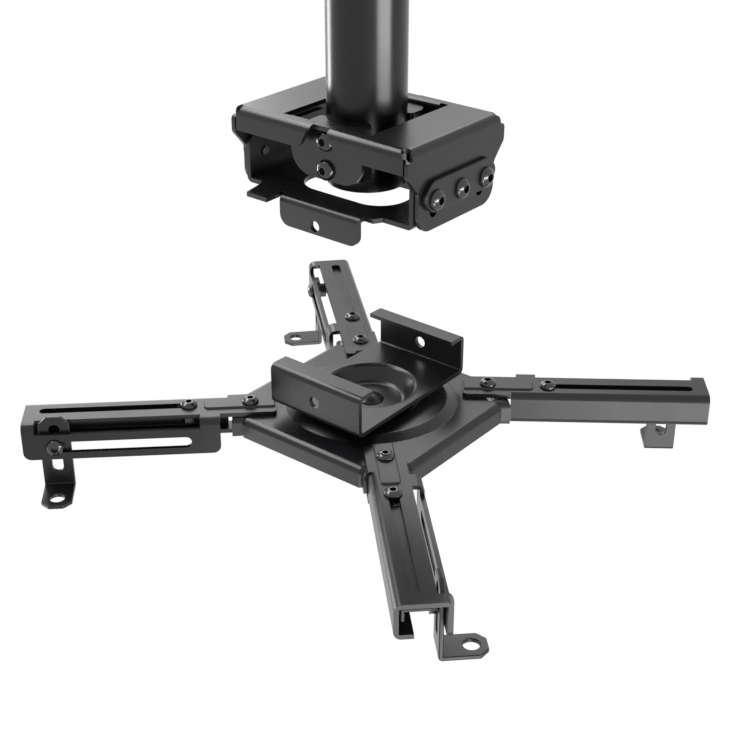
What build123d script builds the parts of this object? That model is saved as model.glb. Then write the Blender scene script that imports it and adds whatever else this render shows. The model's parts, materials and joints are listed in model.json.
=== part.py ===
import os
from math import cos, radians, sin, sqrt

from build123d import *

os.makedirs("parts", exist_ok=True)

# All sizes in millimetres. Z is up, the origin is the centre of the pole's top end.
# The tilt axis runs along X, the roll axis along Y.

# Pole and its two saddle blocks
pole_d = 42.0
pole_wall = 2.0
pole_drop = 120.0
pole_below = 37.9
saddle_half_x = 17.2
saddle_seat_gap = 0.3
saddle_top = 2.7
saddle_bottom = 29.0
saddle_gap = 0.2
saddle_corner = 7.0
saddle_tip = 2.0

# Sheet stock and bends
sheet = 2.5
bend = 3.2
house_bend = 4.2

# Housing: top panel, walls, front and rear flanges, ears
house_half_x = 58.5
house_half_y = 40.0
window_half_x = 28.3
window_rim_y = 7.5
wall_upper_z = 14.0
wall_lower_z = 23.5
wall_lower_half_y = 31.7
wall_bottom_z = 45.0
wall_corner = 9.5
wall_shoulder = 4.0
flange_inset = 3.5
flange_drop = 12.6
relief_d = 5.0
ear_half_x = 23.5
ear_drop = 29.6
ear_corner = 13.0
roll_axis_z = 8.7
roll_lock_z = 24.0
roll_slot_half_deg = 7.5
notch_left = 5.0
notch_right = 6.4
notch_splay = 6.2
notch_round_left = 6.0
notch_round_right = 11.0
flange_corner = 2.5

# Tilt joint
tilt_axis_z = 28.4
tilt_lock_r = 20.7
tilt_slot_half_deg = 20.5
tilt_slot_w = 5.8
strap_gap = 0.2
strap_half_y = 29.5
strap_top_z = 18.5
strap_bottom_z = 34.8
strap_chamfer = 6.0
strap_round = 5.0
screw_past = 0.8

# Cradle
cradle_gap = 0.2
cradle_half_y = 32.5
cradle_top_z = 17.0
cradle_top_corner = 6.0
cradle_floor_z = 40.5
opening_half_x = 31.5
opening_half_y = 24.2
opening_corner = 16.0
lug_y = 42.0
lug_left = 24.0
lug_right = 28.8
lug_bottom_z = 56.2
lug_corner = 6.0
lug_hole_z = 51.8
lug_hole_d = 6.0
ledge_y = 37.0
ledge_right = 34.4
ledge_left = 43.2
stop_left = 40.5
stop_right = 26.6
stop_y = 49.1

# Spider position below the head
spider_x = 3.0
spider_y = -0.5
spider_turn = 0.7

# Channel
channel_half_x = 31.5
channel_taper = 2.0
channel_half_y = 48.0
channel_bottom_z = 162.2
channel_h = 24.5
channel_lip = 12.2
channel_bend = 3.6
channel_hole_z = 150.9
channel_hole_d = 6.6
dish_r = 25.5
dish_flat_r = 19.0
dish_depth = 9.3
dish_rim_round = 7.0
dish_floor_round = 4.0
rivet_hole_r = 4.1

# Rivet
rivet_r = 3.9
rivet_head_r = 7.8
rivet_head_h = 3.4
rivet_foot_r = 7.0
rivet_foot_h = 2.0

# Plate
plate_z = 169.7
plate_half = 61.7
plate_drop = 11.8
plate_bend = 4.0
ring_outer_r = 49.0
ring_inner_r = 43.0
ring_rise = 3.0
ring_plateau_r = 28.0
ring_round = 5.0
plate_dish_r = 21.5
dish_gap = 0.2
leg_half_w = 12.5
leg_shoulder = 6.0
leg_end_u = 79.0
tongue_half_w = 3.6
tongue_end_r = 5.5
tongue_root = 8.0
swing_slot_half_deg = 11.0

# Arms, u measured outward from the plate's centre
inner_screw_u = 68.0
outer_screw_u = 102.4
arm_half_w = 10.5
arm_inner_u = 53.5
arm_end_u = 193.6
arm_end_corner = 2.5
arm_bend = 4.0
arm_bend_inner = 0.5
bead_outer_u = 94.5
bead_w = 11.0
bead_h = 1.0
bead_corner = 2.5
top_slot_end_u = 182.4
top_slot_w = 5.6
rail_wall_u = 81.0
rail_drop = 19.3
rail_lip_inner_u = 66.0
rail_lip_w = 9.6
side_inner_v = 14.6
side_start_u = 85.0
side_tab_in = 11.0
side_tab_out = 7.0
side_top_drop = 5.8
side_bottom_drop = 21.3
side_corner = 4.5
side_slot_start_u = 101.0
side_slot_end_u = 180.0
side_slot_drop = 13.8
side_slot_w = 6.6
liner_start_u = 109.0
liner_half_w = 7.2
liner_edge = 7.0
liner_t = 1.8

# Each arm's swing away from its leg, in degrees
swing_right = -8.5
swing_back = 2.5
swing_left = -1.7
swing_front = -0.5

# Feet, set along each arm and down from the arm's side slot
foot_u = 176.0
foot_u_right = 172.0
foot_low_right = 7.0
foot_low_back = 9.5
foot_inner_v = 12.0
foot_t = 2.4
foot_half_w = 8.5
foot_rise = 17.5
foot_chamfer = 4.5
foot_drop = 27.4
foot_reach = 25.0
foot_slot_w = 6.0
foot_slot_rise = 12.5
foot_slot_drop = 16.9
foot_hole_v = 17.0
foot_hole_d = 8.2
foot_bend = 2.2

# Fasteners
screw_d = 5.0
screw_hole_d = 5.6
head_d = 9.5
head_h = 2.75
socket_af = 3.0
socket_depth = 1.8
wide_head_d = 10.8
wide_head_h = 3.1
wide_socket_af = 3.4
nut_af = 8.0
nut_h = 4.0

top_z = -pole_drop
window_half_y = house_half_y - window_rim_y
flange_half_x = house_half_x - flange_inset
ear_face_y = window_half_y - sheet
saddle_face_y = ear_face_y - saddle_seat_gap
wall_in_x = house_half_x - sheet
cradle_out_x = wall_in_x - cradle_gap
strap_in_x = house_half_x + strap_gap
strap_out_x = strap_in_x + sheet
tilt_z = top_z - tilt_axis_z
arm_top_z = top_z - plate_z + sheet
foot_screw_z = arm_top_z - side_slot_drop
side_outer_v = side_inner_v + sheet
spider = Location((spider_x, spider_y, 0), (0, 0, spider_turn))


def button_screw(shank, across, high, socket):
    # Button-head screw, seat at z = 0, head up
    with BuildPart() as screw:
        with BuildSketch(Plane.XZ):
            with BuildLine():
                Polyline((0, high), (0, -shank), (screw_d / 2, -shank), (screw_d / 2, 0),
                         (across / 2, 0), (across / 2, high * 0.25))
                ThreePointArc((across / 2, high * 0.25), (across * 0.37, high * 0.76), (across * 0.2, high))
                Line((across * 0.2, high), (0, high))
            make_face()
        revolve(axis=Axis.Z)
        with BuildSketch(Plane.XY.offset(high)):
            RegularPolygon(socket / 2, 6, major_radius=False)
        extrude(amount=-socket_depth, mode=Mode.SUBTRACT)
    return screw.part


def hex_nut():
    # Hexagon nut, seat at z = 0, body down
    with BuildPart() as nut:
        with BuildSketch(Plane.XY):
            RegularPolygon(nut_af / 2, 6, major_radius=False)
            Circle(screw_d / 2 + 0.05, mode=Mode.SUBTRACT)
        extrude(amount=-nut_h)
    return nut.part


# Pole
with BuildPart() as pole:
    with BuildSketch(Plane.XY):
        Circle(pole_d / 2)
        Circle(pole_d / 2 - pole_wall, mode=Mode.SUBTRACT)
    extrude(amount=-(pole_drop + pole_below))
    with BuildSketch(Plane.XZ):
        with Locations((0, top_z - roll_axis_z), (0, top_z - roll_lock_z)):
            Circle(screw_d / 2 + 0.1)
    extrude(amount=pole_d, both=True, mode=Mode.SUBTRACT)
pole.part.label = "pole"
export_step(pole.part, "parts/pole.step")

# Saddle blocks between the pole and the ears
with BuildPart() as saddle_front:
    with BuildSketch(Plane.XY.offset(top_z - saddle_top)):
        with BuildLine():
            Polyline((-saddle_half_x, 0), (-saddle_half_x, -saddle_face_y),
                     (saddle_half_x, -saddle_face_y), (saddle_half_x, 0), close=True)
        make_face()
        Circle(pole_d / 2 + saddle_gap, mode=Mode.SUBTRACT)
    extrude(amount=-(saddle_bottom - saddle_top))
    uprights = saddle_front.edges().filter_by(Axis.Z).group_by(Axis.Y)
    fillet(uprights[0], saddle_corner)
    fillet(saddle_front.edges().filter_by(Axis.Z).group_by(Axis.Y)[-1], saddle_tip)
    with BuildSketch(Plane.XZ):
        with Locations((0, top_z - roll_axis_z), (0, top_z - roll_lock_z)):
            Circle(screw_d / 2 + 0.1)
    extrude(amount=pole_d, both=True, mode=Mode.SUBTRACT)
saddle_front.part.label = "saddle_front"
export_step(saddle_front.part, "parts/saddle_front.step")
saddle_rear = mirror(saddle_front.part, about=Plane.XZ)
saddle_rear.label = "saddle_rear"
export_step(saddle_rear, "parts/saddle_rear.step")

# Roll screws, two through each ear
roll_screw = button_screw(window_half_y - pole_d / 2 + pole_wall + 1, wide_head_d, wide_head_h,
                          wide_socket_af)
roll_set = []
for level in (roll_axis_z, roll_lock_z):
    roll_set.append(Location((0, -window_half_y, top_z - level), (90, 0, 0)) * roll_screw)
    roll_set.append(Location((0, window_half_y, top_z - level), (-90, 0, 0)) * roll_screw)
roll_screws = Compound(label="roll_screws", children=roll_set)
export_step(roll_screws, "parts/roll_screws.step")

# Housing, one folded sheet
with BuildPart() as housing:
    with BuildSketch(Plane.XY.offset(top_z)):
        Rectangle(2 * house_half_x, 2 * house_half_y)
        Rectangle(2 * window_half_x, 2 * window_half_y, mode=Mode.SUBTRACT)
    extrude(amount=-sheet)
    # Side walls with a lower lobe
    for side in (-1, 1):
        with BuildSketch(Plane.YZ.offset(side * house_half_x)) as wall_face:
            with BuildLine():
                Polyline((house_half_y, top_z), (house_half_y, top_z - wall_upper_z),
                         (wall_lower_half_y, top_z - wall_lower_z),
                         (wall_lower_half_y, top_z - wall_bottom_z),
                         (-wall_lower_half_y, top_z - wall_bottom_z),
                         (-wall_lower_half_y, top_z - wall_lower_z),
                         (-house_half_y, top_z - wall_upper_z), (-house_half_y, top_z), close=True)
            make_face()
            fillet(wall_face.vertices().group_by(Axis.Y)[0], wall_corner)
            fillet(wall_face.vertices().filter_by_position(
                Axis.Y, top_z - wall_lower_z - 0.1, top_z - wall_upper_z + 0.1), wall_shoulder)
            with Locations((0, tilt_z)):
                Circle(screw_hole_d / 2, mode=Mode.SUBTRACT)
            for end in (0, 180):
                with Locations((0, tilt_z)):
                    SlotArc(Edge.make_circle(tilt_lock_r, start_angle=end - tilt_slot_half_deg,
                                             end_angle=end + tilt_slot_half_deg),
                            tilt_slot_w, mode=Mode.SUBTRACT)
        extrude(amount=-side * sheet)
    # Front and rear flanges, and the ears turned down from the window's edges
    for side in (-1, 1):
        with BuildSketch(Plane.XZ.offset(-side * house_half_y)) as flange:
            with BuildLine():
                Polyline((-flange_half_x, top_z), (-flange_half_x, top_z - flange_drop),
                         (-notch_left - notch_splay, top_z - flange_drop), (-notch_left, top_z), close=True)
            make_face()
            with BuildLine():
                Polyline((flange_half_x, top_z), (flange_half_x, top_z - flange_drop),
                         (notch_right + notch_splay, top_z - flange_drop), (notch_right, top_z), close=True)
            make_face()
            low = flange.vertices().group_by(Axis.Y)[0].sort_by(Axis.X)
            fillet(low[1], notch_round_left)
            fillet(low[2], notch_round_right)
            fillet((low[0], low[3]), flange_corner)
        extrude(amount=side * sheet)
        with BuildSketch(Plane.XZ.offset(-side * window_half_y)) as ear_face:
            with BuildLine():
                Polyline((-ear_half_x, top_z), (-ear_half_x, top_z - ear_drop),
                         (ear_half_x, top_z - ear_drop), (ear_half_x, top_z), close=True)
            make_face()
            fillet(ear_face.vertices().group_by(Axis.Y)[0], ear_corner)
            with Locations((0, top_z - roll_axis_z)):
                Circle(screw_hole_d / 2, mode=Mode.SUBTRACT)
                SlotArc(Edge.make_circle(roll_lock_z - roll_axis_z, start_angle=270 - roll_slot_half_deg,
                                         end_angle=270 + roll_slot_half_deg),
                        screw_hole_d, mode=Mode.SUBTRACT)
        extrude(amount=side * sheet)
    # Corner reliefs where the folds meet
    with BuildSketch(Plane.XY.offset(top_z + 1)):
        with GridLocations(2 * house_half_x, 2 * house_half_y, 2, 2):
            Rectangle(2 * (house_half_x - flange_half_x), 2 * (house_half_x - flange_half_x))
        with GridLocations(2 * flange_half_x, 2 * (house_half_y - relief_d / 2), 2, 2):
            Circle(relief_d / 2)
    extrude(amount=-relief_d - 1, mode=Mode.SUBTRACT)
    # Cable notch, open up to the start of the front and rear bends
    with BuildSketch(Plane.XY.offset(top_z + 1)):
        for side in (-1, 1):
            with Locations(((notch_right - notch_left) / 2, side * house_half_y)):
                Rectangle(notch_left + notch_right, 2 * house_bend)
    extrude(amount=-sheet - 1, mode=Mode.SUBTRACT)
    top_edges = housing.edges().filter_by_position(Axis.Z, top_z - 0.01, top_z + 0.01)
    outer_y = top_edges.filter_by(Axis.X).filter_by(lambda e: abs(e.center().Y) > house_half_y - 0.01)
    outer_x = top_edges.filter_by(Axis.Y).filter_by(lambda e: abs(e.center().X) > house_half_x - 0.01)
    fillet(outer_x + outer_y, house_bend)
    # Walls' upper end corners, below the reliefs
    fillet(housing.edges().filter_by(Axis.X).filter_by(
        lambda e: abs(abs(e.center().Y) - house_half_y) < 0.01
        and abs(e.center().X) > flange_half_x + 0.5), flange_corner)
    fillet(housing.edges().filter_by(Axis.X).filter_by(
        lambda e: abs(abs(e.center().Y) - ear_face_y) < 0.01 and abs(e.center().Z - top_z) < 0.01),
        sheet - 0.2)
housing.part.label = "housing"
export_step(housing.part, "parts/housing.step")

# Straps outside the housing's walls
with BuildPart() as strap_right:
    with BuildSketch(Plane.YZ.offset(strap_in_x)) as strap_face:
        with BuildLine():
            Polyline((-strap_half_y, top_z - strap_bottom_z), (strap_half_y, top_z - strap_bottom_z),
                     (strap_half_y, top_z - strap_top_z), (-strap_half_y, top_z - strap_top_z), close=True)
        make_face()
        chamfer(strap_face.vertices(), strap_chamfer)
        fillet(strap_face.vertices(), strap_round)
        with Locations((-tilt_lock_r, tilt_z), (0, tilt_z), (tilt_lock_r, tilt_z)):
            Circle(screw_hole_d / 2, mode=Mode.SUBTRACT)
    extrude(amount=sheet)
    fillet(strap_right.faces().sort_by(Axis.X)[-1].outer_wire().edges(), 0.5)
strap_right.part.label = "strap_right"
export_step(strap_right.part, "parts/strap_right.step")
strap_left = mirror(strap_right.part, about=Plane.YZ)
strap_left.label = "strap_left"
export_step(strap_left, "parts/strap_left.step")

# Cradle, one folded sheet hung between the housing's walls
floor_z = top_z - cradle_floor_z
with BuildPart() as cradle:
    with BuildSketch(Plane.XY.offset(floor_z)):
        with BuildLine():
            Polyline((-cradle_out_x, 0), (-cradle_out_x, -cradle_half_y), (-ledge_left - 2, -cradle_half_y),
                     (-ledge_left, -ledge_y + 0.8), (-stop_left, -stop_y), (-stop_right, -stop_y),
                     (-stop_right, -ledge_y), (-lug_left, -ledge_y), (-lug_left, -lug_y),
                     (lug_right, -lug_y),
                     (lug_right, -ledge_y), (ledge_right, -ledge_y), (ledge_right + 2.6, -cradle_half_y),
                     (cradle_out_x, -cradle_half_y), (cradle_out_x, 0), close=True)
        make_face()
        mirror(about=Plane.XZ)
        RectangleRounded(2 * opening_half_x, 2 * opening_half_y, opening_corner, mode=Mode.SUBTRACT)
    extrude(amount=-sheet)
    for side in (-1, 1):
        with BuildSketch(Plane.YZ.offset(side * cradle_out_x)) as cheek:
            with BuildLine():
                Polyline((-cradle_half_y, floor_z - sheet), (cradle_half_y, floor_z - sheet),
                         (cradle_half_y, top_z - cradle_top_z),
                         (-cradle_half_y, top_z - cradle_top_z), close=True)
            make_face()
            fillet(cheek.vertices().group_by(Axis.Y)[-1], cradle_top_corner)
            with Locations((-tilt_lock_r, tilt_z), (0, tilt_z), (tilt_lock_r, tilt_z)):
                Circle(screw_d / 2 + 0.05, mode=Mode.SUBTRACT)
        extrude(amount=-side * sheet)
        with BuildSketch(Plane.XZ.offset(-side * lug_y)) as lug:
            with BuildLine():
                Polyline((-lug_left, floor_z), (-lug_left, top_z - lug_bottom_z),
                         (lug_right, top_z - lug_bottom_z), (lug_right, floor_z), close=True)
            make_face()
            fillet(lug.vertices().group_by(Axis.Y)[0], lug_corner)
            with Locations((0, top_z - lug_hole_z)):
                Circle(lug_hole_d / 2, mode=Mode.SUBTRACT)
        extrude(amount=side * sheet)
    fillet(cradle.edges().filter_by(Axis.Y).filter_by(
        lambda e: abs(abs(e.center().X) - cradle_out_x) < 0.01
        and abs(e.center().Z - floor_z + sheet) < 0.01), bend)
    fillet(cradle.edges().filter_by(Axis.X).filter_by(
        lambda e: abs(abs(e.center().Y) - lug_y) < 0.01 and abs(e.center().Z - floor_z) < 0.01), bend)
cradle.part.label = "cradle"
export_step(cradle.part, "parts/cradle.step")

# Tilt screws, three on each side, threaded into the cradle
tilt_reach = strap_out_x - cradle_out_x + sheet + screw_past
tilt_screw = button_screw(tilt_reach, wide_head_d, wide_head_h, wide_socket_af)
nut = hex_nut()
for name, side in (("left", -1), ("right", 1)):
    seats = (-tilt_lock_r, 0, tilt_lock_r)
    screws = [Location((side * strap_out_x, y, tilt_z), (0, side * 90, 0)) * tilt_screw for y in seats]
    export_step(Compound(label="tilt_screws_" + name, children=screws),
                "parts/tilt_screws_" + name + ".step")

# Channel on top of the spider
channel_z = top_z - channel_bottom_z
with BuildPart() as channel:
    with BuildSketch(Plane.YZ.offset(-channel_half_x)) as section:
        with Locations((0, channel_z + channel_h / 2)):
            RectangleRounded(2 * channel_half_y, channel_h, channel_bend)
            RectangleRounded(2 * (channel_half_y - sheet), channel_h - 2 * sheet, channel_bend - sheet,
                             mode=Mode.SUBTRACT)
        with Locations((0, channel_z + channel_h)):
            Rectangle(2 * (channel_half_y - channel_lip), 2 * (sheet + 1), mode=Mode.SUBTRACT)
    extrude(amount=2 * channel_half_x)
    with BuildSketch(Plane.XY.offset(channel_z - 1)):
        with BuildLine():
            Polyline((channel_half_x, -channel_half_y), (channel_half_x + 1, -channel_half_y - 1),
                     (channel_half_x + 1, channel_half_y + 1),
                     (channel_half_x - channel_taper, channel_half_y + 1),
                     close=True)
        make_face()
        with BuildLine():
            Polyline((-channel_half_x, -channel_half_y), (-channel_half_x - 1, -channel_half_y - 1),
                     (-channel_half_x - 1, channel_half_y + 1),
                     (channel_taper - channel_half_x, channel_half_y + 1),
                     close=True)
        make_face()
    extrude(amount=channel_h + 2, mode=Mode.SUBTRACT)
    with BuildSketch(Plane.XZ):
        with Locations((0, top_z - channel_hole_z)):
            Circle(channel_hole_d / 2)
    extrude(amount=channel_half_y + 1, both=True, mode=Mode.SUBTRACT)
    # Pressed dish round the rivet
    with BuildSketch(Plane.XY.offset(channel_z)):
        Circle(dish_r + dish_rim_round)
    extrude(amount=sheet, mode=Mode.SUBTRACT)
    with BuildSketch(Plane.XZ):
        with BuildLine():
            FilletPolyline((dish_r + dish_rim_round, channel_z + sheet), (dish_r, channel_z + sheet),
                           (dish_flat_r, channel_z + sheet - dish_depth),
                           (rivet_hole_r, channel_z + sheet - dish_depth), radius=dish_floor_round)
            Line((rivet_hole_r, channel_z + sheet - dish_depth), (rivet_hole_r, channel_z - dish_depth))
            FilletPolyline((rivet_hole_r, channel_z - dish_depth),
                           (dish_flat_r - 1.2, channel_z - dish_depth),
                           (dish_r - 1.2, channel_z), (dish_r + dish_rim_round, channel_z),
                           radius=dish_floor_round)
            Line((dish_r + dish_rim_round, channel_z), (dish_r + dish_rim_round, channel_z + sheet))
        make_face()
    revolve(axis=Axis.Z)
channel_placed = Location((spider_x, spider_y, 0)) * channel.part
channel_placed.label = "channel"
export_step(channel_placed, "parts/channel.step")

# Rivet, the swivel's pin
dish_top_z = channel_z + sheet - dish_depth
ring_z = top_z - plate_z
plate_dish_z = channel_z - dish_depth - dish_gap
rivet_low_z = plate_dish_z - sheet - dish_gap
dome_r = (rivet_head_r**2 + rivet_head_h**2) / (2 * rivet_head_h)
dome_mid = sqrt(dome_r**2 - rivet_head_r**2 / 4) - dome_r + rivet_head_h
with BuildPart() as rivet:
    with BuildSketch(Plane.XZ):
        with BuildLine():
            Polyline((0, dish_top_z + rivet_head_h), (0, rivet_low_z - rivet_foot_h),
                     (rivet_foot_r, rivet_low_z - rivet_foot_h), (rivet_foot_r, rivet_low_z),
                     (rivet_r, rivet_low_z), (rivet_r, dish_top_z), (rivet_head_r, dish_top_z))
            ThreePointArc((rivet_head_r, dish_top_z), (rivet_head_r / 2, dish_top_z + dome_mid),
                          (0, dish_top_z + rivet_head_h))
        make_face()
    revolve(axis=Axis.Z)
rivet_placed = spider * rivet.part
rivet_placed.label = "rivet"
export_step(rivet_placed, "parts/rivet.step")

# Plate with a raised ring and four legs
with BuildPart() as spider_plate:
    with BuildSketch(Plane.XY.offset(ring_z)) as outline:
        Rectangle(2 * plate_half, 2 * plate_half)
        Rectangle(2 * (leg_end_u - leg_shoulder), 2 * (leg_end_u - leg_shoulder), rotation=45,
                  mode=Mode.INTERSECT)
        with PolarLocations(leg_end_u / 2, 4, start_angle=45):
            Rectangle(leg_end_u, 2 * leg_half_w)
    extrude(amount=-plate_drop)
    fillet(spider_plate.faces().sort_by(Axis.Z)[-1].edges(), plate_bend)
    with BuildSketch(Plane.XY.offset(ring_z - plate_drop)):
        Rectangle(2 * (plate_half - sheet), 2 * (plate_half - sheet))
        Rectangle(2 * (leg_end_u - leg_shoulder - sheet), 2 * (leg_end_u - leg_shoulder - sheet),
                  rotation=45,
                  mode=Mode.INTERSECT)
        with PolarLocations(leg_end_u / 2 + 5, 4, start_angle=45):
            Rectangle(leg_end_u + 10, 2 * (leg_half_w - sheet))
    extrude(amount=plate_drop - sheet, mode=Mode.SUBTRACT)
    with BuildSketch(Plane.XY.offset(ring_z)):
        with PolarLocations((leg_end_u - tongue_root + outer_screw_u) / 2, 4, start_angle=45):
            Rectangle(outer_screw_u - leg_end_u + tongue_root, 2 * tongue_half_w)
        with PolarLocations(outer_screw_u, 4, start_angle=45):
            Circle(tongue_end_r)
    extrude(amount=-sheet)
    with BuildSketch(Plane.XY.offset(ring_z + 1)):
        Circle(ring_outer_r + ring_round)
    extrude(amount=-sheet - 2, mode=Mode.SUBTRACT)
    with BuildSketch(Plane.XZ):
        with BuildLine():
            FilletPolyline((ring_outer_r + ring_round, ring_z), (ring_outer_r, ring_z),
                           (ring_inner_r, ring_z + ring_rise), (ring_plateau_r, ring_z + ring_rise),
                           (plate_dish_r, plate_dish_z), (rivet_hole_r, plate_dish_z), radius=ring_round / 2)
            Line((rivet_hole_r, plate_dish_z), (rivet_hole_r, plate_dish_z - sheet))
            FilletPolyline((rivet_hole_r, plate_dish_z - sheet), (plate_dish_r + 1.2, plate_dish_z - sheet),
                           (ring_plateau_r + 1.2, ring_z + ring_rise - sheet),
                           (ring_inner_r - 0.6, ring_z + ring_rise - sheet),
                           (ring_outer_r - 0.6, ring_z - sheet),
                           (ring_outer_r + ring_round, ring_z - sheet), radius=ring_round / 2)
            Line((ring_outer_r + ring_round, ring_z - sheet), (ring_outer_r + ring_round, ring_z))
        make_face()
    revolve(axis=Axis.Z)
    # Screw hole at each tongue's pivot and an arc slot for the inner screw
    with BuildSketch(Plane.XY.offset(ring_z + 1)):
        with PolarLocations(outer_screw_u, 4, start_angle=45):
            Circle(screw_hole_d / 2)
            SlotArc(Edge.make_circle(outer_screw_u - inner_screw_u, start_angle=180 - swing_slot_half_deg,
                                     end_angle=180 + swing_slot_half_deg), screw_hole_d)
    extrude(amount=-sheet - 2, mode=Mode.SUBTRACT)
plate_placed = spider * spider_plate.part
plate_placed.label = "spider_plate"
export_step(plate_placed, "parts/spider_plate.step")

# One arm, drawn along X with its pivot screw at the origin of X and Y
pivot = outer_screw_u
with BuildPart() as arm:
    with BuildSketch(Plane.XY.offset(arm_top_z)) as strip:
        with Locations(((arm_inner_u + rail_wall_u) / 2 - pivot, 0)):
            Rectangle(rail_wall_u - arm_inner_u, 2 * arm_half_w)
        fillet(strip.vertices().group_by(Axis.X)[0], arm_end_corner)
    extrude(amount=-sheet)
    # Open rail: the top folds down into a wall with a return lip
    rail_low_z = arm_top_z - rail_drop
    with BuildSketch(Plane.YZ.offset(rail_wall_u - pivot)) as rail:
        with BuildLine():
            Polyline((arm_half_w, arm_top_z), (-arm_half_w, arm_top_z), (-arm_half_w, rail_low_z),
                     (rail_lip_w - arm_half_w, rail_low_z), (rail_lip_w - arm_half_w, rail_low_z + sheet),
                     (sheet - arm_half_w, rail_low_z + sheet), (sheet - arm_half_w, arm_top_z - sheet),
                     (arm_half_w, arm_top_z - sheet), close=True)
        make_face()
        fillet(rail.vertices().group_by(Axis.X)[0], arm_bend)
        fillet(rail.vertices().filter_by_position(Axis.X, sheet - arm_half_w - 0.01,
                                                  sheet - arm_half_w + 0.01),
               arm_bend_inner)
    extrude(amount=arm_end_u - rail_wall_u)
    with BuildSketch(Plane.XY.offset(arm_top_z - rail_drop)):
        with Locations(((rail_lip_inner_u + rail_wall_u) / 2 - pivot, -arm_half_w + rail_lip_w / 2)):
            Rectangle(rail_wall_u - rail_lip_inner_u, rail_lip_w)
    extrude(amount=sheet)
    # Slotted side plate held off the rail by two bent tabs
    with BuildSketch(Plane.XZ.offset(-side_outer_v)) as side_plate:
        with Locations(((side_start_u + arm_end_u) / 2 - pivot,
                        arm_top_z - (side_top_drop + side_bottom_drop) / 2)):
            Rectangle(arm_end_u - side_start_u, side_bottom_drop - side_top_drop)
        fillet(side_plate.vertices().group_by(Axis.Y)[0], side_corner)
        with Locations((side_start_u + side_tab_in / 2 - pivot, arm_top_z - side_top_drop / 2 - 1)):
            Rectangle(side_tab_in, side_top_drop + 2)
        with Locations((arm_end_u - side_tab_out / 2 - pivot, arm_top_z - side_top_drop / 2 - 1)):
            Rectangle(side_tab_out, side_top_drop + 2)
        with Locations(((side_slot_start_u + side_slot_end_u) / 2 - pivot, arm_top_z - side_slot_drop)):
            SlotOverall(side_slot_end_u - side_slot_start_u, side_slot_w, mode=Mode.SUBTRACT)
    extrude(amount=sheet)
    with BuildSketch(Plane.XY.offset(arm_top_z)):
        with Locations((side_start_u + side_tab_in / 2 - pivot, (arm_half_w + side_outer_v) / 2 - 2)):
            Rectangle(side_tab_in, side_outer_v - arm_half_w + 4)
        with Locations((arm_end_u - side_tab_out / 2 - pivot, (arm_half_w + side_outer_v) / 2 - 2)):
            Rectangle(side_tab_out, side_outer_v - arm_half_w + 4)
    extrude(amount=-sheet)
    fillet(arm.edges().filter_by(Axis.X).filter_by(
        lambda e: abs(e.center().Z - arm_top_z) < 0.01 and abs(e.center().Y - side_outer_v) < 0.01),
        arm_bend)
    # Bead under the two screws
    with BuildSketch(Plane.XY.offset(arm_top_z)) as bead:
        with Locations(((arm_inner_u + bead_outer_u) / 2 - pivot, 0)):
            Rectangle(bead_outer_u - arm_inner_u - 1, bead_w)
        fillet(bead.vertices().group_by(Axis.X)[-1], bead_corner)
    extrude(amount=bead_h, taper=35)
    # Long slot in the top and the inner screw's hole
    with BuildSketch(Plane.XY.offset(arm_top_z + bead_h + 1)):
        with Locations(((top_slot_end_u - pivot) / 2, 0)):
            SlotOverall(top_slot_end_u - pivot + top_slot_w, top_slot_w)
        with Locations((inner_screw_u - pivot, 0)):
            Circle(screw_hole_d / 2)
    extrude(amount=-sheet - bead_h - 1.5, mode=Mode.SUBTRACT)

# Liner strip under the arm's top
with BuildPart() as liner:
    with BuildSketch(Plane.YZ.offset(liner_start_u - pivot)):
        with Locations((0, arm_top_z - sheet - liner_t / 2)):
            Rectangle(2 * liner_half_w, liner_t)
        with Locations((-liner_half_w + liner_t / 2, arm_top_z - sheet - liner_edge / 2)):
            Rectangle(liner_t, liner_edge)
    extrude(amount=arm_end_u - liner_start_u)

# One foot, drawn at its clamp screw with the arm's top at its own height
with BuildPart() as foot:
    with BuildSketch(Plane.XZ.offset(-foot_inner_v - foot_t)) as leg:
        with BuildLine():
            Polyline((-foot_half_w, foot_screw_z - foot_drop), (foot_half_w, foot_screw_z - foot_drop),
                     (foot_half_w, foot_screw_z + foot_rise),
                     (-foot_half_w, foot_screw_z + foot_rise), close=True)
        make_face()
        chamfer(leg.vertices().group_by(Axis.Y)[-1], foot_chamfer)
        with Locations((0, foot_screw_z + (foot_slot_rise - foot_slot_drop) / 2)):
            SlotOverall(foot_slot_rise + foot_slot_drop, foot_slot_w, rotation=90, mode=Mode.SUBTRACT)
    extrude(amount=foot_t)
    with BuildSketch(Plane.XY.offset(foot_screw_z - foot_drop)) as pad:
        with BuildLine():
            Polyline((-foot_half_w, foot_inner_v), (foot_half_w, foot_inner_v),
                     (foot_half_w, foot_inner_v + foot_reach),
                     (-foot_half_w, foot_inner_v + foot_reach), close=True)
        make_face()
        chamfer(pad.vertices().group_by(Axis.Y)[-1], foot_chamfer)
        with Locations((0, foot_inner_v + foot_hole_v)):
            Circle(foot_hole_d / 2, mode=Mode.SUBTRACT)
    extrude(amount=foot_t)
    fillet(foot.edges().filter_by(Axis.X).filter_by(
        lambda e: abs(e.center().Y - foot_inner_v) < 0.01
        and abs(e.center().Z - foot_screw_z + foot_drop) < 0.01), foot_bend)

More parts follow.
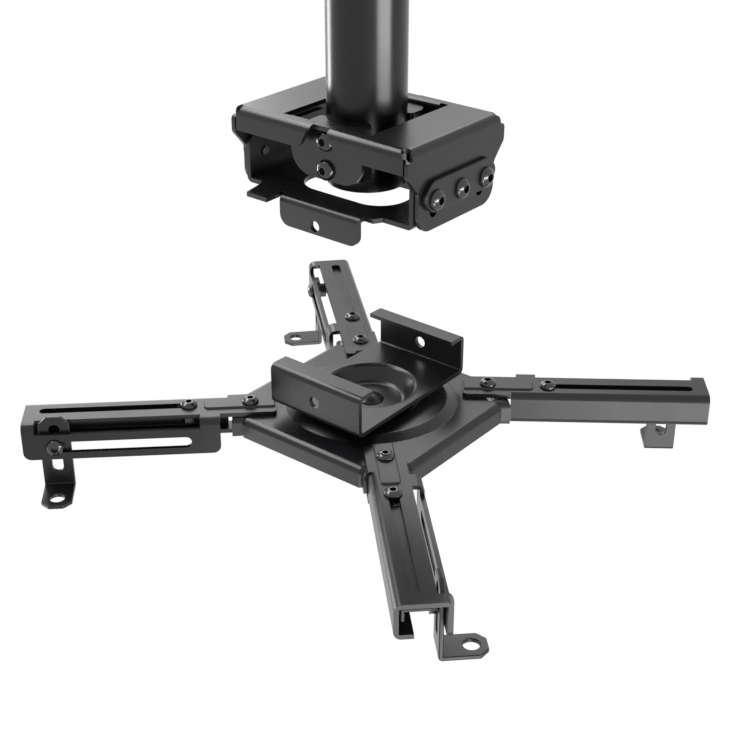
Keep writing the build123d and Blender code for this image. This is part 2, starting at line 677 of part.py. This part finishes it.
# Arms, liners, screws, nuts and feet in their four places
inner_screw = button_screw(bead_h + 2 * sheet + nut_h + 1, head_d, head_h, socket_af)
outer_screw = button_screw(2 * sheet + nut_h + 1, head_d, head_h, socket_af)
clamp_screw = button_screw(side_outer_v - foot_inner_v + nut_h + 1, head_d, head_h, socket_af)
seat_z = arm_top_z - 2 * sheet
places = (
    ("right", 45, swing_right, foot_u_right, foot_low_right),
    ("back", 135, swing_back, foot_u, foot_low_back),
    ("left", 225, swing_left, foot_u, 0),
    ("front", 315, swing_front, foot_u, 0),
)
for name, corner, swing, foot_at, foot_low in places:
    leg_angle = corner + spider_turn
    place = Location((spider_x + pivot * cos(radians(leg_angle)),
                      spider_y + pivot * sin(radians(leg_angle)), 0),
                     (0, 0, leg_angle + swing))
    slide = Location((foot_at - pivot, 0, 0))
    drop = Location((0, 0, -foot_low))
    inner = Location((inner_screw_u - pivot, 0, 0))
    placed = {
        "arm_": place * arm.part,
        "arm_liner_": place * liner.part,
        "arm_screws_": Compound(children=[place * inner * Location((0, 0, arm_top_z + bead_h)) * inner_screw,
                                          place * Location((0, 0, arm_top_z)) * outer_screw]),
        "arm_nuts_": Compound(children=[place * inner * Location((0, 0, seat_z)) * nut,
                                        place * Location((0, 0, seat_z)) * nut]),
        "foot_": place * slide * drop * foot.part,
        "foot_screw_": place * slide * Location((0, side_outer_v, foot_screw_z), (-90, 0, 0)) * clamp_screw,
        "foot_nut_": place * slide * Location((0, foot_inner_v, foot_screw_z), (-90, 0, 0)) * nut,
    }
    for stem, piece in placed.items():
        piece.label = stem + name
        export_step(piece, "parts/" + stem + name + ".step")
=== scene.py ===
import json
import math

import bmesh
import bpy
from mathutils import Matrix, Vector


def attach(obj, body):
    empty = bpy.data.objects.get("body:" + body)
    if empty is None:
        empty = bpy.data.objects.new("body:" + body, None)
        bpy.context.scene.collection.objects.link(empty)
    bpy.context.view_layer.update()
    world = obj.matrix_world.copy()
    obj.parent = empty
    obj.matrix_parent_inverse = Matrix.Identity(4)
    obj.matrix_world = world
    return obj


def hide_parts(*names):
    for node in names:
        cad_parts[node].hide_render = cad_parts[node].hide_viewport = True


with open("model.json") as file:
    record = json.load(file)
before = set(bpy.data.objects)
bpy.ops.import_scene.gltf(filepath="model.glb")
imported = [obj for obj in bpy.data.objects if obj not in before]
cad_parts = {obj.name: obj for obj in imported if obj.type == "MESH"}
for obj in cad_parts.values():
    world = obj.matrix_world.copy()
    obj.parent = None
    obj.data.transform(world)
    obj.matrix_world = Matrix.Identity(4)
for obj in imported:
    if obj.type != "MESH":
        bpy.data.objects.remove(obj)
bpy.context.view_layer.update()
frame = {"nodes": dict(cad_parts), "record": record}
scene = bpy.context.scene
scene.view_settings.view_transform = "Standard"
print("frame loaded,", len(frame["nodes"]), "nodes")

mm = 0.001
mergeDist = 0.002 * mm  # the CAD mesh's face corners are joined within this


def hexColour(text):
    # sRGB hex to linear
    parts = [int(text[i:i + 2], 16) / 255 for i in (1, 3, 5)]
    linear = [c / 12.92 if c <= 0.04045 else ((c + 0.055) / 1.055) ** 2.4 for c in parts]
    return (*linear, 1.0)


def addNode(tree, kind, links=None, **settings):
    # one node with its settings; links maps an input to a value or to another node's output
    node = tree.nodes.new(kind)
    for key, value in settings.items():
        setattr(node, key, value)
    for key, value in (links or {}).items():
        if isinstance(value, bpy.types.NodeSocket):
            tree.links.new(value, node.inputs[key])
        else:
            node.inputs[key].default_value = value
    return node


# satin black powder coat baked on steel: a soft, slightly pebbled plastic film
powderCoat = {
    "toneAt": (0.35, 0.65),
    "ior": 1.42,
    "cloudMm": 38.0,  # slow change of film thickness
    "grainMm": 0.55,  # orange peel, drawn a little coarse so that it shows
    "peel": 0.035,
}
sheetLook = {**powderCoat, "tones": ("#17181a", "#1d1e20"), "rough": (0.25, 0.32)}
poleLook = {**powderCoat, "tones": ("#0b0b0c", "#101011"), "rough": (0.22, 0.27)}
# black oxide on cold-headed steel: nearly black, oiled and fairly glossy
oxideLook = {
    "tones": ("#0a0a0b", "#161617"),
    "toneAt": (0.0, 1.0),
    "rough": (0.12, 0.18),
    "ior": 1.65,
    "cloudMm": 1.6,
}
cloudDetail = 3.0
grainDetail = 2.0
roughAt = (0.3, 0.7)  # noise values between which the roughness changes
peelDepth = 0.1 * mm


def makeFinish(name, look):
    mat = bpy.data.materials.new(name)
    mat.use_nodes = True
    tree = mat.node_tree
    shader = tree.nodes["Principled BSDF"]
    shader.inputs["IOR"].default_value = look["ior"]
    place = addNode(tree, "ShaderNodeTexCoord").outputs["Object"]

    def noise(sizeMm, detail):
        links = {"Vector": place, "Scale": 1 / (sizeMm * mm), "Detail": detail}
        return addNode(tree, "ShaderNodeTexNoise", links).outputs["Fac"]

    cloud = noise(look["cloudMm"], cloudDetail)
    tone = addNode(tree, "ShaderNodeValToRGB", {"Fac": cloud})
    for i, stop in enumerate(tone.color_ramp.elements):
        stop.position = look["toneAt"][i]
        stop.color = hexColour(look["tones"][i])
    gloss = addNode(tree, "ShaderNodeMapRange", {
        "Value": cloud, "From Min": roughAt[0], "From Max": roughAt[1],
        "To Min": look["rough"][0], "To Max": look["rough"][1]})
    tree.links.new(tone.outputs["Color"], shader.inputs["Base Color"])
    tree.links.new(gloss.outputs["Result"], shader.inputs["Roughness"])
    if "peel" in look:
        peel = addNode(tree, "ShaderNodeBump", {
            "Height": noise(look["grainMm"], grainDetail),
            "Strength": look["peel"], "Distance": peelDepth})
        tree.links.new(peel.outputs["Normal"], shader.inputs["Normal"])
    return mat


sheetCoat = makeFinish("satinBlackPowderCoat", sheetLook)
poleCoat = makeFinish("satinBlackPoleCoat", poleLook)
screwBlack = makeFinish("blackOxideSteel", oxideLook)
print("finishes made")

# every CAD node gets a finish from its slot
slotFinish = {"sheet": sheetCoat, "pole": poleCoat, "fastener": screwBlack}
coatedFastener = "rivet"  # set before coating, so it has the sheet's finish
record = frame["record"]
slotOf = {p["node"]: p["material_slot"] for p in record["subparts"]}
bodyOf = {n: b for b, nodes in record["behaviour"]["bodies"].items() for n in nodes}
finishOf = {n: sheetCoat if n == coatedFastener else slotFinish[s] for n, s in slotOf.items()}
for name, obj in frame["nodes"].items():
    obj.data.materials.clear()
    obj.data.materials.append(finishOf[name])

# clamp screws' directions, out of each arm's side plate and square to its reach slide
reachAxes = {j["name"].removeprefix("reach_"): j["axis"]
             for j in record["behaviour"]["joints"] if j["name"].startswith("reach_")}
clampAim = {corner: Vector((y, -x, 0)) for corner, (x, y, _) in reachAxes.items()}
seatGap = 0.03 * mm  # paint's thickness under heads and nuts, so that sliding faces don't mix
edge = {"width": 0.55 * mm, "segments": 2, "angle": 32.0, "flat": 0.4}
# the channel's straight side edges, to which its pressed dish is drawn back:
# a point in mm and the way out
sideCuts = {"channel": (((34.5, -48.5, 0), (97, 2, 0)), ((-28.5, -48.5, 0), (-97, 2, 0)))}


def standFor(piece, name):
    # the piece takes its CAD node's place on the node's body
    scene.collection.objects.link(piece)
    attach(piece, bodyOf[name])
    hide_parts(name)


def softenEdges(name):
    # a merged copy of a folded or turned node with its cut edges broken, as coated sheet has them
    source = frame["nodes"][name]
    bm = bmesh.new()
    bm.from_mesh(source.data)
    bmesh.ops.transform(bm, matrix=source.matrix_world, verts=bm.verts)
    if name.startswith("foot_nut_"):
        away = clampAim[name.removeprefix("foot_nut_")] * -seatGap
        bmesh.ops.translate(bm, vec=away, verts=bm.verts)
    bmesh.ops.remove_doubles(bm, verts=bm.verts, dist=mergeDist)
    for spot, outward in sideCuts.get(name, ()):
        way = Vector(outward).normalized()
        for vert in bm.verts:
            vert.co -= way * max(0.0, (vert.co - Vector(spot) * mm).dot(way))
    bmesh.ops.dissolve_limit(bm, angle_limit=math.radians(edge["flat"]),
                             verts=bm.verts, edges=bm.edges)
    mesh = bpy.data.meshes.new(name + "Coated")
    bm.to_mesh(mesh)
    bm.free()
    for poly in mesh.polygons:
        poly.use_smooth = True
    mesh.materials.append(finishOf[name])
    piece = bpy.data.objects.new(name + "Coated", mesh)
    rounding = piece.modifiers.new("brokenEdge", "BEVEL")
    rounding.width = edge["width"]
    rounding.segments = edge["segments"]
    rounding.limit_method = "ANGLE"
    rounding.angle_limit = math.radians(edge["angle"])
    sharp = piece.modifiers.new("faceShading", "WEIGHTED_NORMAL")
    sharp.keep_sharp = True
    standFor(piece, name)


coatedNodes = [n for n in frame["nodes"]
               if slotOf[n] in ("sheet", "pole") or "nut" in n or n == coatedFastener]
for name in coatedNodes:
    softenEdges(name)
print("edges broken on", len(coatedNodes), "pieces")


# M5 button heads: the arms' and feet's, and the wider ones on the tilt-and-roll head
armScrew = {
    "Head diameter": 9.5 * mm,
    "Head height": 2.75 * mm,
    "Shank diameter": 5.0 * mm,
    "Socket across flats": 3.4 * mm,
    "Socket depth": 1.8 * mm,
}
headScrew = {
    "Head diameter": 10.8 * mm,
    "Head height": 3.1 * mm,
    "Shank diameter": 5.0 * mm,
    "Socket across flats": 3.9 * mm,
    "Socket depth": 2.0 * mm,
}
# rim is the upright share of the head's height, topShare the flat top's share of its width
headShape = {"sides": 40, "shankSides": 20, "rings": 9, "rim": 0.15, "topShare": 0.5,
             "sharpDeg": 30.0}
hexCorner = 1 / math.sqrt(3)  # a hexagon's corner radius over its width across flats


def screwTree():
    # button heads on points: a cylinder drawn in to a dome, with a hexagon socket cut out
    tree = bpy.data.node_groups.new("buttonScrews", "GeometryNodeTree")
    sockets = tree.interface
    sockets.new_socket("Geometry", in_out="INPUT", socket_type="NodeSocketGeometry")
    for label in armScrew:
        sockets.new_socket(label, in_out="INPUT", socket_type="NodeSocketFloat")
    sockets.new_socket("Finish", in_out="INPUT", socket_type="NodeSocketMaterial")
    sockets.new_socket("Geometry", in_out="OUTPUT", socket_type="NodeSocketGeometry")
    sizes = addNode(tree, "NodeGroupInput").outputs
    headHigh = sizes["Head height"]

    def maths(operation, a, b=0.0):
        return addNode(tree, "ShaderNodeMath", {0: a, 1: b}, operation=operation).outputs[0]

    def vector(x=0.0, y=0.0, z=0.0):
        return addNode(tree, "ShaderNodeCombineXYZ", {"X": x, "Y": y, "Z": z}).outputs[0]

    def cylinder(sides, radius, depth, rings=1):
        return addNode(tree, "GeometryNodeMeshCylinder", {
            "Vertices": sides, "Side Segments": rings,
            "Radius": radius, "Depth": depth}).outputs["Mesh"]

    def moved(mesh, by):
        return addNode(tree, "GeometryNodeTransform", {
            "Geometry": mesh, "Translation": by}).outputs[0]

    def attribute(label, kind):
        return addNode(tree, "GeometryNodeInputNamedAttribute", {"Name": label},
                       data_type=kind).outputs[0]

    # head: each ring of the blank is drawn in along an ellipse
    blank = cylinder(headShape["sides"], maths("MULTIPLY", sizes["Head diameter"], 0.5),
                     headHigh, headShape["rings"])
    spot = addNode(tree, "GeometryNodeInputPosition").outputs[0]
    level = addNode(tree, "ShaderNodeSeparateXYZ", {0: spot}).outputs["Z"]
    share = maths("ADD", maths("DIVIDE", level, headHigh), 0.5)
    rise = addNode(tree, "ShaderNodeMapRange", {
        "Value": share, "From Min": headShape["rim"], "From Max": 1.0}).outputs["Result"]
    squared = maths("MULTIPLY", maths("POWER", rise, 2.0), 1 - headShape["topShare"] ** 2)
    drawIn = maths("SQRT", maths("SUBTRACT", 1.0, squared))
    domed = addNode(tree, "ShaderNodeVectorMath", {0: spot, 1: vector(drawIn, drawIn, 1.0)},
                    operation="MULTIPLY").outputs[0]
    dome = addNode(tree, "GeometryNodeSetPosition", {
        "Geometry": blank, "Position": domed,
        "Offset": vector(z=maths("MULTIPLY", headHigh, 0.5))}).outputs[0]
    key = cylinder(6, maths("MULTIPLY", sizes["Socket across flats"], hexCorner),
                   maths("MULTIPLY", sizes["Socket depth"], 2.0))
    head = addNode(tree, "GeometryNodeMeshBoolean", {
        "Mesh 1": dome, "Mesh 2": moved(key, vector(z=headHigh))},
        operation="DIFFERENCE").outputs[0]

    # shank: one unit long, stretched to each point's length
    rod = cylinder(headShape["shankSides"], maths("MULTIPLY", sizes["Shank diameter"], 0.5), 1.0)
    shank = moved(rod, (0, 0, -0.5))
    turn = addNode(tree, "FunctionNodeAlignRotationToVector", {
        "Vector": attribute("aim", "FLOAT_VECTOR")}, axis="Z").outputs[0]
    spread = {"Points": sizes["Geometry"], "Rotation": turn}
    heads = addNode(tree, "GeometryNodeInstanceOnPoints", {**spread, "Instance": head})
    shanks = addNode(tree, "GeometryNodeInstanceOnPoints", {
        **spread, "Instance": shank, "Scale": vector(1.0, 1.0, attribute("shank", "FLOAT"))})
    both = addNode(tree, "GeometryNodeJoinGeometry")
    tree.links.new(heads.outputs[0], both.inputs[0])
    tree.links.new(shanks.outputs[0], both.inputs[0])
    real = addNode(tree, "GeometryNodeRealizeInstances", {"Geometry": both.outputs[0]})

    # domes are shaded smooth, rims and sockets sharp
    bend = addNode(tree, "GeometryNodeInputMeshEdgeAngle").outputs[0]
    soft = maths("LESS_THAN", bend, math.radians(headShape["sharpDeg"]))
    smooth = addNode(tree, "GeometryNodeSetShadeSmooth", {
        "Geometry": real.outputs[0], "Shade Smooth": soft}, domain="EDGE")
    coated = addNode(tree, "GeometryNodeSetMaterial", {
        "Geometry": smooth.outputs[0], "Material": sizes["Finish"]})
    addNode(tree, "NodeGroupOutput", {0: coated.outputs[0]})
    return tree


def screwIslands(name):
    # corner points of each separate screw in a CAD node
    bm = bmesh.new()
    bm.from_mesh(frame["nodes"][name].data)
    bmesh.ops.remove_doubles(bm, verts=bm.verts, dist=mergeDist)
    islands = []
    seen = set()
    for start in bm.verts:
        if start in seen:
            continue
        seen.add(start)
        queue = [start]
        for vert in queue:
            for link in vert.link_edges:
                other = link.other_vert(vert)
                if other not in seen:
                    seen.add(other)
                    queue.append(other)
        islands.append([vert.co.copy() for vert in queue])
    bm.free()
    return islands


def screwSeat(island, screw, aimOf):
    # seat, direction and shank length of one screw
    middle = sum(island, Vector()) / len(island)
    aim = aimOf(middle).normalized()
    across = aim.orthogonal().normalized()
    third = aim.cross(across)

    def span(way):
        reach = [p.dot(way) for p in island]
        return min(reach), max(reach)

    low, high = span(aim)
    seat = high - screw["Head height"] + seatGap
    place = aim * seat + across * sum(span(across)) / 2 + third * sum(span(third)) / 2
    return place, aim, seat - low


def setScrews(name, screw, aimOf):
    seats = [screwSeat(island, screw, aimOf) for island in screwIslands(name)]
    mesh = bpy.data.meshes.new(name + "Points")
    mesh.from_pydata([place for place, _, _ in seats], [], [])
    mesh.attributes.new("aim", "FLOAT_VECTOR", "POINT")
    mesh.attributes.new("shank", "FLOAT", "POINT")
    for i, (_, aim, shank) in enumerate(seats):
        mesh.attributes["aim"].data[i].vector = aim
        mesh.attributes["shank"].data[i].value = shank
    points = bpy.data.objects.new(name + "Points", mesh)
    scene.collection.objects.link(points)
    maker = points.modifiers.new("buttonScrews", "NODES")
    maker.node_group = screwNodes
    values = {**screw, "Finish": screwBlack}
    for item in screwNodes.interface.items_tree:
        if item.in_out == "INPUT" and item.name in values:
            maker[item.identifier] = values[item.name]
    evaluated = points.evaluated_get(bpy.context.evaluated_depsgraph_get())
    made = bpy.data.meshes.new_from_object(evaluated)
    bpy.data.objects.remove(points)
    standFor(bpy.data.objects.new(name + "Heads", made), name)
    return len(seats)


screwNodes = screwTree()
screwCount = setScrews("roll_screws", headScrew, lambda p: Vector((0, p.y, 0)))
for side in ("left", "right"):
    screwCount += setScrews("tilt_screws_" + side, headScrew, lambda p: Vector((p.x, 0, 0)))
for corner, outward in clampAim.items():
    screwCount += setScrews("arm_screws_" + corner, armScrew, lambda p: Vector((0, 0, 1)))
    screwCount += setScrews("foot_screw_" + corner, armScrew, lambda p: outward)
print("screws set,", screwCount)


# lengths in metres
studio = {
    "floorZ": -1.3,
    "floorHalf": 6.0,
    "floorHex": "#f4f4f4",
    "floorRough": 0.9,
    "worldFill": 0.25,
    # name: watts, width and height, place; all aimed at the middle of the mount
    "lamps": {
        "overheadSoftbox": (18.0, (1.5, 0.45), (-0.95, -0.1, 1.05)),
        "backSoftbox": (3.4, (0.55, 0.55), (-1.24, 0.78, 0.3)),
        "upperBackSoftbox": (3.4, (0.6, 0.6), (-0.65, 0.88, 0.72)),
        "lowLeftSoftbox": (2.0, (0.6, 0.6), (-0.95, -0.8, -0.95)),
        "lowRightSoftbox": (5.0, (0.5, 0.5), (0.95, -0.6, -0.85)),
        "rightStrip": (9.5, (0.8, 0.25), (1.15, -0.05, -0.32)),
        "leftStrip": (5.0, (0.35, 0.5), (-1.2, -0.05, -0.34)),
    },
    "aim": (0, 0, -0.22),
}
white = (1, 1, 1, 1)


def seenBackdrop(tree):
    # 1 for rays that look at the backdrop, straight, mirrored or through glass
    path = addNode(tree, "ShaderNodeLightPath").outputs
    seen = path["Is Camera Ray"]
    for kind in ("Is Glossy Ray", "Is Transmission Ray"):
        seen = addNode(tree, "ShaderNodeMath", {0: seen, 1: path[kind]},
                       operation="MAXIMUM").outputs[0]
    return seen


def makeFloor():
    mesh = bpy.data.meshes.new("studioFloor")
    h, z = studio["floorHalf"], studio["floorZ"]
    mesh.from_pydata([(-h, -h, z), (h, -h, z), (h, h, z), (-h, h, z)], [], [(0, 1, 2, 3)])
    floor = bpy.data.objects.new("studioFloor", mesh)
    scene.collection.objects.link(floor)
    mat = bpy.data.materials.new("paleStudioFloor")
    mat.use_nodes = True
    tree = mat.node_tree
    shader = tree.nodes["Principled BSDF"]
    shader.inputs["Base Color"].default_value = hexColour(studio["floorHex"])
    shader.inputs["Roughness"].default_value = studio["floorRough"]
    glow = addNode(tree, "ShaderNodeEmission", {"Color": white, "Strength": 1.0})
    mix = addNode(tree, "ShaderNodeMixShader", {
        0: seenBackdrop(tree), 1: shader.outputs[0], 2: glow.outputs[0]})
    tree.links.new(mix.outputs[0], tree.nodes["Material Output"].inputs["Surface"])
    floor.data.materials.append(mat)


def makeWorld():
    world = bpy.data.worlds.new("studioWorld")
    scene.world = world
    world.use_nodes = True
    tree = world.node_tree
    level = addNode(tree, "ShaderNodeMapRange", {
        "Value": seenBackdrop(tree), "To Min": studio["worldFill"], "To Max": 1.0})
    sky = tree.nodes["Background"]
    sky.inputs["Color"].default_value = white
    tree.links.new(level.outputs["Result"], sky.inputs["Strength"])


def makeLamps():
    for name, (watts, size, place) in studio["lamps"].items():
        lamp = bpy.data.lights.new(name, "AREA")
        lamp.energy = watts
        lamp.shape = "RECTANGLE"
        lamp.size, lamp.size_y = size
        obj = bpy.data.objects.new(name, lamp)
        obj.location = place
        way = Vector(studio["aim"]) - Vector(place)
        obj.rotation_euler = way.to_track_quat("-Z", "Y").to_euler()
        scene.collection.objects.link(obj)


makeFloor()
makeWorld()
makeLamps()

# the photo's camera: place in mm, angles in degrees, lens and sensor in mm
camera = {"place": (448.99, -545.31, 103.56), "pitch": 27.91, "azimuth": 39.42,
          "lens": 69.4, "sensor": 36, "clipStart": 0.01}
eye = bpy.data.objects.new("photoCamera", bpy.data.cameras.new("photoCamera"))
eye.location = Vector(camera["place"]) * mm
eye.rotation_euler = (math.radians(90 - camera["pitch"]), 0, math.radians(camera["azimuth"]))
eye.data.lens = camera["lens"]
eye.data.sensor_width = camera["sensor"]
eye.data.clip_start = camera["clipStart"]
scene.collection.objects.link(eye)
scene.camera = eye
print("studio and camera set")
